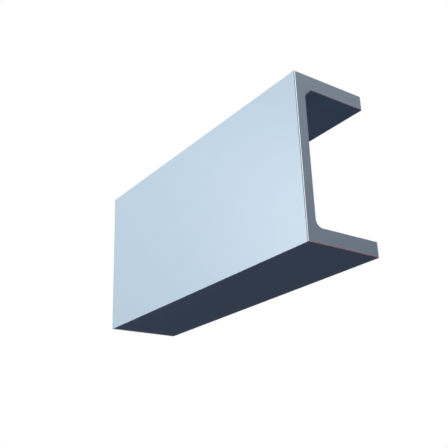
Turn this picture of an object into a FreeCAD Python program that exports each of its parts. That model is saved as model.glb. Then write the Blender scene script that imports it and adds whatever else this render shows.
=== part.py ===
import FreeCAD
import Part
import math
import os

# A short sawn length of hot-rolled steel channel with parallel flanges, in one solid.
# Millimetres. X runs along the length, the web's outer face looks towards -Y, the
# flanges point towards +Y, and Z is up. The origin is at the middle of the footprint,
# so the channel stands on its lower flange at Z = 0.

# Section
DEPTH = 76.2  # over both flanges
FLANGE_WIDTH = 38.9  # from the web's outer face to the flange tips
WEB_THICKNESS = 5.2
FLANGE_THICKNESS = 7.0  # the same from root to tip
LOWER_ROOT_RADIUS = 3.2  # rolled fillet between the web and the lower flange
UPPER_ROOT_FLAT = 3.6  # each leg of the 45 degree flat between the web and the upper flange

# Sawn ends
LENGTH = 158.3
END_BREAK = 0.3  # radius filed on the edges of both sawn ends

# Faces of the section, as Y and Z values
WEB_OUTER_Y = -FLANGE_WIDTH / 2
WEB_INNER_Y = WEB_OUTER_Y + WEB_THICKNESS
TIP_Y = WEB_OUTER_Y + FLANGE_WIDTH
LOWER_INNER_Z = FLANGE_THICKNESS
UPPER_INNER_Z = DEPTH - FLANGE_THICKNESS


def at(y, z):
    """A point of the section, in the plane of the left sawn end."""
    return FreeCAD.Vector(-LENGTH / 2, y, z)


def lower_root():
    """The quarter round that blends the lower flange into the web."""
    centre_y = WEB_INNER_Y + LOWER_ROOT_RADIUS
    centre_z = LOWER_INNER_Z + LOWER_ROOT_RADIUS
    diagonal = LOWER_ROOT_RADIUS * math.sqrt(0.5)
    return Part.Arc(
        at(centre_y, LOWER_INNER_Z),
        at(centre_y - diagonal, centre_z - diagonal),
        at(WEB_INNER_Y, centre_z),
    )


def section():
    """The closed outline of the channel, seen along its length."""
    root = lower_root()
    flat_start = at(WEB_INNER_Y, UPPER_INNER_Z - UPPER_ROOT_FLAT)
    flat_end = at(WEB_INNER_Y + UPPER_ROOT_FLAT, UPPER_INNER_Z)
    curves = [
        Part.LineSegment(at(WEB_OUTER_Y, 0), at(TIP_Y, 0)),
        Part.LineSegment(at(TIP_Y, 0), at(TIP_Y, LOWER_INNER_Z)),
        Part.LineSegment(at(TIP_Y, LOWER_INNER_Z), root.StartPoint),
        root,
        Part.LineSegment(root.EndPoint, flat_start),
        Part.LineSegment(flat_start, flat_end),
        Part.LineSegment(flat_end, at(TIP_Y, UPPER_INNER_Z)),
        Part.LineSegment(at(TIP_Y, UPPER_INNER_Z), at(TIP_Y, DEPTH)),
        Part.LineSegment(at(TIP_Y, DEPTH), at(WEB_OUTER_Y, DEPTH)),
        Part.LineSegment(at(WEB_OUTER_Y, DEPTH), at(WEB_OUTER_Y, 0)),
    ]
    return Part.Wire([curve.toShape() for curve in curves])


def end_edges(bar):
    """The edges round both sawn ends: all but the ones that run along the bar."""
    return [edge for edge in bar.Edges if edge.BoundBox.XLength < LENGTH / 2]


def channel_section():
    """The rolled section over its sawn length, with its end edges filed round."""
    bar = Part.Face(section()).extrude(FreeCAD.Vector(LENGTH, 0, 0))
    return bar.makeFillet(END_BREAK, end_edges(bar)).Solids[0]


os.makedirs("parts", exist_ok=True)
channel = channel_section()
channel.exportStep("parts/channel_section.step")
print("channel_section", channel.ShapeType, channel.isValid(), round(channel.Volume, 1))
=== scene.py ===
import logging
import math
from dataclasses import dataclass, field
from enum import Enum

import bmesh
import bpy
from mathutils import Matrix, Vector


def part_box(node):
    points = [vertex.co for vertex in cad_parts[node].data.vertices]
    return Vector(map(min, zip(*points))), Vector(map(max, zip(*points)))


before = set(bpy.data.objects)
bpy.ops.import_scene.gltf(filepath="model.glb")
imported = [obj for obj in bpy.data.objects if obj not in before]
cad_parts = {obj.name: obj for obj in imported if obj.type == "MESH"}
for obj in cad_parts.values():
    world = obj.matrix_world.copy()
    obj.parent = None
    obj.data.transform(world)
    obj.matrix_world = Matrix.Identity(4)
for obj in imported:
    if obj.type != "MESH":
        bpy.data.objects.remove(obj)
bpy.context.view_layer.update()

# The channel itself comes from the frame and keeps its shape. This script gives it its
# finish, and sets the floor, the surroundings, the soft light and the camera round it.
# Everything is in metres, X along the length, the web facing -Y and Z up.

MM = 0.001
CHANNEL = "channel_section"

Colour = tuple[float, float, float]
Socket = bpy.types.NodeSocket
Value = Socket | float
Tone = Socket | Colour

BLACK: Colour = (0.0, 0.0, 0.0)
WHITE: Colour = (1.0, 1.0, 1.0)

# Where a mask of the surface's direction starts and is full, as a part of a unit normal
# The next band picks the end and the half of its filed edges that gets the painted highlight.
HIGHLIGHT_SIDE = (0.78, 0.86)  # the end, and the part of its filed edges that is bright
# The next band picks the end and the half of its filed edges that gets the painted red
# reflection.
RED_REFLECTION_SIDE = (0.66, 0.74)  # the end, and the part of its filed edges that is brown
FLAT_END = (0.95, 0.995)  # the flat of the end
NOT_FLAT = (0.998, 0.985)  # off that flat, where the edge is filed
WEB_SIDE = (-0.55, -0.65)  # towards the web's outer side
DOWNWARD = (-0.15, -0.20)  # at least a little down
UPWARD = (0.80, 0.99)  # straight up

WAVE_RATE = 20.0  # radians per metre in the bands of a Wave Texture, at a scale of 1

log = logging.getLogger("channel")


class Maths(Enum):
    """The sums that the finishes do with a Math node."""

    ADD = "ADD"
    SUBTRACT = "SUBTRACT"
    MULTIPLY = "MULTIPLY"
    MULTIPLY_ADD = "MULTIPLY_ADD"
    MAXIMUM = "MAXIMUM"
    ABSOLUTE = "ABSOLUTE"


@dataclass(frozen=True)
class Pattern:
    """A smooth random pattern.

    Attributes:
        size: The size of a blotch along X, Y and Z.
        layers: How many finer layers are added to it.
    """

    size: Vector
    layers: float


class Graph:
    """A node tree, with short calls for the nodes that the finishes share."""

    def __init__(self, tree: bpy.types.NodeTree) -> None:
        """Empties a tree and takes it over.

        Args:
            tree: The node tree of a material or of the world.
        """
        self.tree = tree
        self.tree.nodes.clear()

    def node(self, kind: str, **settings: object) -> bpy.types.Node:
        """Adds a node.

        Args:
            kind: The node's type, as Blender names it.
            **settings: Properties to set on the node.

        Returns:
            The new node.
        """
        made = self.tree.nodes.new(kind)
        for name, value in settings.items():
            setattr(made, name, value)
        return made

    def feed(self, target: Socket, source: Value | Tone) -> None:
        """Links a socket to another, or sets its value.

        Args:
            target: The input that is fed.
            source: The output to link, or a value.
        """
        if isinstance(source, bpy.types.NodeSocket):
            self.tree.links.new(source, target)
        elif isinstance(source, tuple):
            target.default_value = (*source, 1.0)
        else:
            target.default_value = source

    def maths(self, kind: Maths, *values: Value) -> Socket:
        """Does one sum.

        Args:
            kind: Which sum.
            *values: Its terms, in order.

        Returns:
            The result's socket.
        """
        made = self.node("ShaderNodeMath", operation=kind.value)
        for target, value in zip(made.inputs, values):
            self.feed(target, value)
        return made.outputs["Value"]

    def every(self, mask: Socket, *others: Socket) -> Socket:
        """Finds where all of some masks lie.

        Args:
            mask: The first of them.
            *others: The rest.

        Returns:
            The socket of their product.
        """
        for other in others:
            mask = self.maths(Maths.MULTIPLY, mask, other)
        return mask

    def either(self, mask: Socket, *others: Socket) -> Socket:
        """Finds where any of some masks lies.

        Args:
            mask: The first of them.
            *others: The rest.

        Returns:
            The socket of the largest of them.
        """
        for other in others:
            mask = self.maths(Maths.MAXIMUM, mask, other)
        return mask

    def outside(self, mask: Socket) -> Socket:
        """Turns a mask round: 1 where it is 0."""
        return self.maths(Maths.SUBTRACT, 1.0, mask)

    def step(self, value: Socket, low: float, high: float) -> Socket:
        """Rises smoothly from 0 at low to 1 at high, or falls if low is the larger.

        Args:
            value: The value that is tested.
            low: Where the result is 0.
            high: Where the result is 1.

        Returns:
            The result's socket.
        """
        made = self.node("ShaderNodeMapRange", interpolation_type="SMOOTHSTEP")
        limits = (low, high, 0.0, 1.0) if low < high else (high, low, 1.0, 0.0)
        names = ("Value", "From Min", "From Max", "To Min", "To Max")
        for name, source in zip(names, (value, *limits)):
            self.feed(made.inputs[name], source)
        return made.outputs["Result"]

    def mix(self, amount: Value, first: Tone, second: Tone) -> Socket:
        """Mixes two colours.

        Args:
            amount: 0 for the first, 1 for the second.
            first: A colour.
            second: Another.

        Returns:
            The mixed colour's socket.
        """
        made = self.node("ShaderNodeMix", data_type="RGBA")
        for target, source in zip(made.inputs[:1] + made.inputs[6:8], (amount, first, second)):
            self.feed(target, source)
        return made.outputs[2]

    def blend(self, amount: Value, first: Value, second: Value) -> Socket:
        """Mixes two plain values.

        Args:
            amount: 0 for the first, 1 for the second.
            first: A value.
            second: Another.

        Returns:
            The mixed value's socket.
        """
        made = self.node("ShaderNodeMix", data_type="FLOAT")
        for target, source in zip(made.inputs[:1] + made.inputs[2:4], (amount, first, second)):
            self.feed(target, source)
        return made.outputs[0]

    def parts(self, vector: Socket) -> tuple[Socket, Socket, Socket]:
        """Splits a vector.

        Args:
            vector: The vector's socket.

        Returns:
            The sockets of its X, Y and Z.
        """
        made = self.node("ShaderNodeSeparateXYZ")
        self.feed(made.inputs["Vector"], vector)
        return tuple(made.outputs)

    def noise(self, place: Socket, pattern: Pattern) -> Socket:
        """Lays a random pattern, with values round 0.5.

        Args:
            place: The coordinate that the pattern is read at, in metres.
            pattern: Its size and layers.

        Returns:
            The pattern's socket.
        """
        stretch = self.node("ShaderNodeMapping")
        self.feed(stretch.inputs["Vector"], place)
        stretch.inputs["Scale"].default_value = [1 / size for size in pattern.size]
        made = self.node("ShaderNodeTexNoise")
        self.feed(made.inputs["Vector"], stretch.outputs["Vector"])
        self.feed(made.inputs["Scale"], 1.0)
        self.feed(made.inputs["Detail"], pattern.layers)
        return made.outputs["Fac"]

    def seen(self) -> Socket:
        """Finds the rays that look at a thing, straight, in a reflection or through glass.

        Returns:
            The socket of 1 for such a ray, and 0 for one that only carries light.
        """
        rays = self.node("ShaderNodeLightPath").outputs
        return self.either(
            rays["Is Camera Ray"], rays["Is Glossy Ray"], rays["Is Transmission Ray"]
        )

    def choose(self, amount: Socket, first: Socket, second: Socket) -> Socket:
        """Mixes two shaders.

        Args:
            amount: 0 for the first, 1 for the second.
            first: A shader's socket.
            second: Another's.

        Returns:
            The mixed shader's socket.
        """
        made = self.node("ShaderNodeMixShader")
        for target, source in zip(made.inputs, (amount, first, second)):
            self.feed(target, source)
        return made.outputs["Shader"]


@dataclass(frozen=True)
class SteelBlueCoat:
    """The pale steel-blue coat on every rolled and sawn face.

    Attributes:
        colour: Its colour, linear.
        roughness: How matt it is.
        specular: The strength of its sheen.
        top_roughness: How matt it is on top, where dust settles.
        inside_roughness: How matt it is between the flanges, where nothing has rubbed it.
        drift: How far the tone wanders over the faces, as a share.
        drift_pattern: The patches that it wanders in.
        roughness_drift: How far the roughness wanders with the tone.
        streak: How strong the fine lines along the rolling direction are, as a share.
        streak_pattern: The fine lines.
        grain_height: The height of the fine grain.
        grain_pattern: The grain.
    """

    colour: Colour = (0.395, 0.537, 0.640)
    roughness: float = 0.35
    specular: float = 0.43
    top_roughness: float = 0.7
    inside_roughness: float = 0.93
    drift: float = 0.012
    drift_pattern: Pattern = Pattern(Vector((40, 18, 18)) * MM, 2.0)
    roughness_drift: float = 0.02
    streak: float = 0.008
    streak_pattern: Pattern = Pattern(Vector((60, 0.9, 0.9)) * MM, 3.0)
    grain_height: float = 0.004 * MM
    grain_pattern: Pattern = Pattern(Vector((0.35, 0.25, 0.25)) * MM, 2.0)


@dataclass(frozen=True)
class SawMarks:
    """The faint marks that the blade left across both sawn ends.

    Attributes:
        pitch: The distance from one mark to the next.
        lean: The angle of the marks to the flanges, in degrees.
        depth: How deep they are.
        shade: How much they change the tone, as a share.
        wander: How far they stray from straight lines.
        layers: How many finer layers that straying has.
    """

    pitch: float = 0.8 * MM
    lean: float = 12.0
    depth: float = 0.006 * MM
    shade: float = 0.012
    wander: float = 2.5
    layers: float = 2.0


@dataclass(frozen=True)
class BareArrisHighlight:
    """Bare steel where the file took the coat off the ends, along the web's outer edge, near
    white as a painted highlight.

    Attributes:
        colour: The steel's colour, linear, set near white for the painted highlight.
        roughness: How matt it is.
        width: How far it reaches over the end from the web's outer face.
    """

    colour: Colour = (0.93, 0.945, 0.925)
    roughness: float = 0.45
    width: float = 0.42 * MM


@dataclass(frozen=True)
class PaintedBlueShade:
    """A dark blue painted shade on the web next to the ends, over the web's side of the filed
    edge and beside the bare edge.

    Attributes:
        colour: The painted shade's colour, linear.
        width: How far it reaches over the web from the plane of the end.
    """

    colour: Colour = (0.01, 0.12, 0.24)
    width: float = 0.45 * MM


@dataclass(frozen=True)
class PaintedRedReflection:
    """Red metal on the ends along the edges that face down, as a painted reflection.

    Attributes:
        colour: The painted reflection's colour along the lower flange, linear.
        upper_colour: Its colour along the upper flange, where the painted reflection is
            darker.
        roughness: How matt it is.
        width: How far it reaches over the end from the lower flange's outer face.
    """

    colour: Colour = (0.44, 0.145, 0.13)
    upper_colour: Colour = (0.22, 0.095, 0.095)
    roughness: float = 0.4
    width: float = 0.37 * MM


@dataclass(frozen=True)
class SectionSizes:
    """The thicknesses of the rolled section.

    Attributes:
        web: The web's thickness.
        flange: The flanges' thickness.
    """

    web: float = 5.2 * MM
    flange: float = 7.0 * MM


@dataclass(frozen=True)
class Masks:
    """Where each finish lies, as sockets of values between 0 and 1.

    Attributes:
        top: The faces that look up.
        inside: The faces between the flanges.
        sawn: The flat of both ends.
        bare: The bare edge beside the web, near white as a painted highlight.
        blue: The blue painted shade on the web.
        red_reflection: The painted red reflection along the lower flange.
        dark_red_reflection: The darker painted red reflection along the upper flange.
        metal: The bare edge and both painted red reflections.
    """

    top: Socket
    inside: Socket
    sawn: Socket
    bare: Socket
    blue: Socket
    red_reflection: Socket
    dark_red_reflection: Socket
    metal: Socket


@dataclass
class ChannelSection:
    """The rolled channel, which keeps its shape from the frame and gets its finish here.

    Attributes:
        coat: The finish of the rolled and sawn faces.
        saw_marks: The marks on the sawn ends.
        bare_arris_highlight: The bare edges beside the web, with their painted highlight.
        painted_blue_shade: The painted shade on the web beside them.
        painted_red_reflection: The painted red reflection on the edges that face down.
        sizes: The section's thicknesses.
        softness: How gently one finish runs into the next.
        node: The channel itself.
        low: The corner of its box with the lowest X, Y and Z.
        high: The opposite corner.
    """

    coat: SteelBlueCoat = field(default_factory=SteelBlueCoat)
    saw_marks: SawMarks = field(default_factory=SawMarks)
    bare_arris_highlight: BareArrisHighlight = field(default_factory=BareArrisHighlight)
    painted_blue_shade: PaintedBlueShade = field(default_factory=PaintedBlueShade)
    painted_red_reflection: PaintedRedReflection = field(default_factory=PaintedRedReflection)
    sizes: SectionSizes = field(default_factory=SectionSizes)
    softness: float = 0.08 * MM
    node: bpy.types.Object = field(init=False)
    low: Vector = field(init=False)
    high: Vector = field(init=False)

    def __post_init__(self) -> None:
        """Takes the channel and its box from the frame."""
        self.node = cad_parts[CHANNEL]
        self.low, self.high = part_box(CHANNEL)

    def dress(self) -> None:
        """Gives the channel its finish."""
        material = bpy.data.materials.new("steel_blue_coat_over_rolled_steel")
        material.use_nodes = True
        graph = Graph(material.node_tree)
        place = graph.node("ShaderNodeTexCoord").outputs["Object"]
        masks = self._masks(graph, place)
        drift = graph.noise(place, self.coat.drift_pattern)
        marks = self._marks(graph, place, masks)
        surface = graph.node("ShaderNodeBsdfPrincipled")
        for name, source in {
            "Base Color": self._colour(graph, place, masks, drift, marks),
            "Roughness": self._roughness(graph, masks, drift),
            "Metallic": masks.metal,
            "Specular IOR Level": self.coat.specular,
            "Normal": self._relief(graph, place, marks),
        }.items():
            graph.feed(surface.inputs[name], source)
        output = graph.node("ShaderNodeOutputMaterial")
        graph.feed(output.inputs["Surface"], surface.outputs["BSDF"])
        self.node.material_slots[0].material = material
        # The tints in this message are the painted shade and painted red reflections on the
        # filed edges.
        log.info("%s: coat, saw marks, bare edges and painted edge shade and reflections", CHANNEL)

    def _masks(self, graph: Graph, place: Socket) -> Masks:
        """Finds the inside, the sawn ends and the bands along their filed edges.

        Args:
            graph: The material's graph.
            place: The object's coordinates.

        Returns:
            The masks.
        """
        x, y, z = graph.parts(place)
        facing_x, facing_y, facing_z = graph.parts(
            graph.node("ShaderNodeTexCoord").outputs["Normal"]
        )
        end_on = graph.maths(Maths.ABSOLUTE, facing_x)
        soft = self.softness

        web_inner_y = self.low.y + self.sizes.web
        lower_inner_z = self.low.z + self.sizes.flange
        upper_inner_z = self.high.z - self.sizes.flange
        inside = graph.every(
            graph.step(z, lower_inner_z - soft, lower_inner_z - soft / 2),
            graph.step(z, upper_inner_z + soft, upper_inner_z + soft / 2),
            graph.step(y, web_inner_y - soft, web_inner_y - soft / 2),
        )

        # The end and the half of each filed edge that faces it; along the web's outer edge
        # this is where the painted highlight lies.
        rubbed = graph.step(end_on, *HIGHLIGHT_SIDE)
        bare_edge_y = self.low.y + self.bare_arris_highlight.width
        bare = graph.every(rubbed, graph.step(y, bare_edge_y, bare_edge_y - soft))

        # Painted shade: a dark blue band on the web and the web's side of the filed edge, next
        # to each end.
        blue_edge_x = self.high.x - self.painted_blue_shade.width
        blue = graph.every(
            graph.step(facing_y, *WEB_SIDE),
            graph.step(graph.maths(Maths.ABSOLUTE, x), blue_edge_x, blue_edge_x + soft),
            graph.outside(rubbed),
        )

        # Painted reflection: red metal on the half of each filed edge that faces the end,
        # along the lower flange and under the upper flange.
        red_reflection_side = graph.every(graph.step(end_on, *RED_REFLECTION_SIDE), graph.outside(bare))
        brown_edge_z = self.low.z + self.painted_red_reflection.width
        red_reflection = graph.every(red_reflection_side, graph.step(z, brown_edge_z, brown_edge_z - soft))
        dark_red_reflection = graph.every(
            red_reflection_side, graph.step(end_on, *NOT_FLAT), graph.step(facing_z, *DOWNWARD)
        )
        return Masks(
            top=graph.step(facing_z, *UPWARD),
            inside=inside,
            sawn=graph.step(end_on, *FLAT_END),
            bare=bare,
            blue=blue,
            red_reflection=red_reflection,
            dark_red_reflection=dark_red_reflection,
            metal=graph.either(bare, red_reflection, dark_red_reflection),
        )

    def _colour(
        self, graph: Graph, place: Socket, masks: Masks, drift: Socket, marks: Socket
    ) -> Socket:
        """The coat's colour with its fine tones, and the colours of the bands over it: a
        painted highlight, a painted shade and painted red reflections along the filed edges.

        Args:
            graph: The material's graph.
            place: The object's coordinates.
            masks: Where the finishes lie.
            drift: The slow drift of the tone.
            marks: The blade's marks, round 0.

        Returns:
            The colour's socket.
        """
        streak = graph.noise(place, self.coat.streak_pattern)
        rolled = graph.maths(Maths.SUBTRACT, graph.blend(masks.sawn, streak, 0.5), 0.5)
        tone = graph.maths(Maths.MULTIPLY_ADD, drift, 2 * self.coat.drift, 1 - self.coat.drift)
        tone = graph.maths(Maths.MULTIPLY_ADD, rolled, 2 * self.coat.streak, tone)
        tone = graph.maths(Maths.MULTIPLY_ADD, marks, 2 * self.saw_marks.shade, tone)
        colour = graph.mix(tone, BLACK, self.coat.colour)
        # Painted shade on the web beside the bare edge.
        colour = graph.mix(masks.blue, colour, self.painted_blue_shade.colour)
        # Painted highlight: near-white metal on the bare edge beside the web.
        colour = graph.mix(masks.bare, colour, self.bare_arris_highlight.colour)
        # Painted red reflections along the filed edges that face down.
        colour = graph.mix(masks.dark_red_reflection, colour, self.painted_red_reflection.upper_colour)
        return graph.mix(masks.red_reflection, colour, self.painted_red_reflection.colour)

    def _roughness(self, graph: Graph, masks: Masks, drift: Socket) -> Socket:
        """How matt each finish is.

        Args:
            graph: The material's graph.
            masks: Where the finishes lie.
            drift: The slow drift of the coat.

        Returns:
            The roughness's socket.
        """
        spread = self.coat.roughness_drift
        change = graph.maths(Maths.MULTIPLY_ADD, drift, 2 * spread, -spread)
        coated = graph.blend(masks.top, self.coat.roughness, self.coat.top_roughness)
        coated = graph.blend(masks.inside, coated, self.coat.inside_roughness)
        rough = graph.maths(Maths.ADD, coated, change)
        rough = graph.blend(masks.metal, rough, self.painted_red_reflection.roughness)
        return graph.blend(masks.bare, rough, self.bare_arris_highlight.roughness)

    def _relief(self, graph: Graph, place: Socket, marks: Socket) -> Socket:
        """The coat's fine grain and the blade's marks, as a bump.

        Args:
            graph: The material's graph.
            place: The object's coordinates.
            marks: The blade's marks, round 0.

        Returns:
            The normal's socket.
        """
        grain = graph.noise(place, self.coat.grain_pattern)
        height = graph.maths(Maths.MULTIPLY, grain, self.coat.grain_height)
        height = graph.maths(Maths.MULTIPLY_ADD, marks, self.saw_marks.depth, height)
        bump = graph.node("ShaderNodeBump")
        graph.feed(bump.inputs["Strength"], 1.0)
        graph.feed(bump.inputs["Distance"], 1.0)
        graph.feed(bump.inputs["Height"], height)
        return bump.outputs["Normal"]

    def _marks(self, graph: Graph, place: Socket, masks: Masks) -> Socket:
        """The blade's marks on the ends, as parallel bands that wander a little.

        Args:
            graph: The material's graph.
            place: The object's coordinates.
            masks: Where the finishes lie.

        Returns:
            The socket of a value between -0.5 and 0.5, and 0 off the ends.
        """
        turned = graph.node("ShaderNodeMapping")
        graph.feed(turned.inputs["Vector"], place)
        turned.inputs["Rotation"].default_value = (math.radians(self.saw_marks.lean), 0, 0)
        bands = graph.node("ShaderNodeTexWave", bands_direction="Z")
        graph.feed(bands.inputs["Vector"], turned.outputs["Vector"])
        graph.feed(bands.inputs["Scale"], math.tau / (WAVE_RATE * self.saw_marks.pitch))
        graph.feed(bands.inputs["Distortion"], self.saw_marks.wander)
        graph.feed(bands.inputs["Detail"], self.saw_marks.layers)
        centred = graph.maths(Maths.SUBTRACT, bands.outputs["Fac"], 0.5)
        return graph.maths(Maths.MULTIPLY, masks.sawn, centred)


@dataclass(frozen=True)
class Softbox:
    """A square soft lamp on a stand.

    Attributes:
        name: What it is called.
        place: Where its middle is.
        aim: The point that it faces.
        width: The side of the square.
        power: Its power in watts.
        colour: The colour of its light, linear.
    """

    name: str
    place: Vector
    aim: Vector
    width: float
    power: float
    colour: Colour = WHITE

    def hang(self) -> None:
        """Puts the lamp up, out of the camera's sight."""
        lamp = bpy.data.lights.new(self.name, "AREA")
        lamp.shape = "SQUARE"
        lamp.size = self.width
        lamp.energy = self.power
        lamp.color = self.colour
        stand = bpy.data.objects.new(self.name, lamp)
        turned = (self.aim - self.place).to_track_quat("-Z", "Y").to_matrix().to_4x4()
        stand.matrix_world = Matrix.Translation(self.place) @ turned
        stand.visible_camera = False
        bpy.context.scene.collection.objects.link(stand)


@dataclass
class Studio:
    """The floor, the white surroundings and the lamps.

    Attributes:
        floor_colour: The floor's colour, linear.
        floor_radius: How far the floor reaches.
        floor_sides: How many straight sides its rim has.
        floor_fade: The distances at which the floor has faded out and is whole.
        floor_drop: How far under the channel the floor lies.
        above: The light that comes from the upper half of the surroundings.
        below: The light that comes from the lower half.
        horizon: The heights between which one runs into the other, on a unit sphere.
        lamps: The lamps.
    """

    floor_colour: Colour = (0.86, 0.87, 0.88)
    floor_radius: float = 1.6
    floor_sides: int = 96
    floor_fade: tuple[float, float] = (0.62, 0.12)
    floor_drop: float = 0.3 * MM
    above: Colour = (0.039, 0.036, 0.042)
    below: Colour = (0.037, 0.037, 0.064)
    horizon: tuple[float, float] = (-0.25, 0.25)
    lamps: tuple[Softbox, ...] = ()

    def build(self) -> None:
        """Sets the stage."""
        self._lay_floor()
        self._surround()
        for lamp in self.lamps:
            lamp.hang()
        log.info("studio: floor, surroundings and %d lamps", len(self.lamps))

    def _lay_floor(self) -> None:
        """Lays a round floor that fades out towards its rim and is open from below."""
        shape = bmesh.new()
        bmesh.ops.create_circle(
            shape,
            cap_ends=True,
            cap_tris=False,
            segments=self.floor_sides,
            radius=self.floor_radius,
        )
        bmesh.ops.translate(shape, verts=shape.verts, vec=(0, 0, -self.floor_drop))
        mesh = bpy.data.meshes.new("floor")
        shape.to_mesh(mesh)
        shape.free()
        floor = bpy.data.objects.new("floor", mesh)
        bpy.context.scene.collection.objects.link(floor)
        mesh.materials.append(self._floor_finish())

    def _floor_finish(self) -> bpy.types.Material:
        """The floor's matt finish, which shows from above and holds no light back.

        Returns:
            The floor's material.
        """
        material = bpy.data.materials.new("pale_floor")
        material.use_nodes = True
        graph = Graph(material.node_tree)
        distance = graph.node("ShaderNodeVectorMath", operation="LENGTH")
        graph.feed(distance.inputs[0], graph.node("ShaderNodeTexCoord").outputs["Object"])
        near = graph.step(distance.outputs["Value"], *self.floor_fade)
        from_below = graph.node("ShaderNodeNewGeometry").outputs["Backfacing"]
        clear = graph.node("ShaderNodeBsdfTransparent").outputs["BSDF"]
        matt = graph.node("ShaderNodeBsdfDiffuse")
        graph.feed(matt.inputs["Color"], self.floor_colour)
        solid = graph.every(graph.seen(), graph.outside(from_below), near)
        output = graph.node("ShaderNodeOutputMaterial")
        graph.feed(output.inputs["Surface"], graph.choose(solid, clear, matt.outputs["BSDF"]))
        return material

    def _surround(self) -> None:
        """Sets white surroundings to look at, and a dim soft light that comes from them."""
        world = bpy.data.worlds.new("surroundings")
        world.use_nodes = True
        bpy.context.scene.world = world
        graph = Graph(world.node_tree)
        direction = graph.node("ShaderNodeTexCoord").outputs["Generated"]
        height = graph.step(graph.parts(direction)[2], *self.horizon)
        light = graph.node("ShaderNodeBackground")
        graph.feed(light.inputs["Color"], graph.mix(height, self.below, self.above))
        white = graph.node("ShaderNodeBackground")
        graph.feed(white.inputs["Color"], WHITE)
        shown = graph.choose(
            graph.seen(), light.outputs["Background"], white.outputs["Background"]
        )
        output = graph.node("ShaderNodeOutputWorld")
        graph.feed(output.inputs["Surface"], shown)


@dataclass(frozen=True)
class ViewCamera:
    """The camera, low beside the right end and looking up past the web.

    Attributes:
        place: Where it stands.
        aim: The point in the middle of its picture.
        roll: How far it leans, in degrees.
        focal_mm: The focal length.
        sensor_mm: The width of the sensor.
        nearest: The distance at which it starts to see.
    """

    place: Vector = field(default_factory=lambda: Vector((269.09, -199.42, -94.74)) * MM)
    aim: Vector = field(default_factory=lambda: Vector((25.99, -19.45, 25.21)) * MM)
    roll: float = -2.13
    focal_mm: float = 58.58
    sensor_mm: float = 36.0
    nearest: float = 5 * MM

    def set_up(self) -> None:
        """Makes the camera and the view's colour settings."""
        lens = bpy.data.cameras.new("camera")
        lens.lens = self.focal_mm
        lens.sensor_width = self.sensor_mm
        lens.clip_start = self.nearest
        camera = bpy.data.objects.new("camera", lens)
        turned = (self.aim - self.place).to_track_quat("-Z", "Y").to_matrix().to_4x4()
        leant = Matrix.Rotation(math.radians(self.roll), 4, "Z")
        camera.matrix_world = Matrix.Translation(self.place) @ turned @ leant
        bpy.context.scene.collection.objects.link(camera)
        bpy.context.scene.camera = camera
        bpy.context.scene.view_settings.view_transform = "Standard"
        log.info("camera: %.1f mm lens", self.focal_mm)


def main() -> None:
    """Builds everything in order."""
    logging.basicConfig(level=logging.INFO, format="%(name)s: %(message)s")
    ChannelSection().dress()
    middle = Vector((0, 0, 38)) * MM
    Studio(
        lamps=(
            Softbox("key", Vector((-0.913, -1.486, 0.430)), middle, 1.0, 30.4),
            Softbox(
                "end", Vector((0.301, -0.211, 0.300)), middle, 0.4, 0.945, (1.04, 0.935, 0.975)
            ),
            Softbox("low", Vector((-0.12, -0.22, -0.60)), middle, 0.4, 0.23),
            Softbox("back", Vector((-0.35, 0.80, 0.30)), middle, 0.6, 1.0),
            Softbox("overhead", Vector((0.0, 0.0, 1.30)), middle, 0.8, 5.0),
        )
    ).build()
    ViewCamera().set_up()


if __name__ == "__main__":
    main()
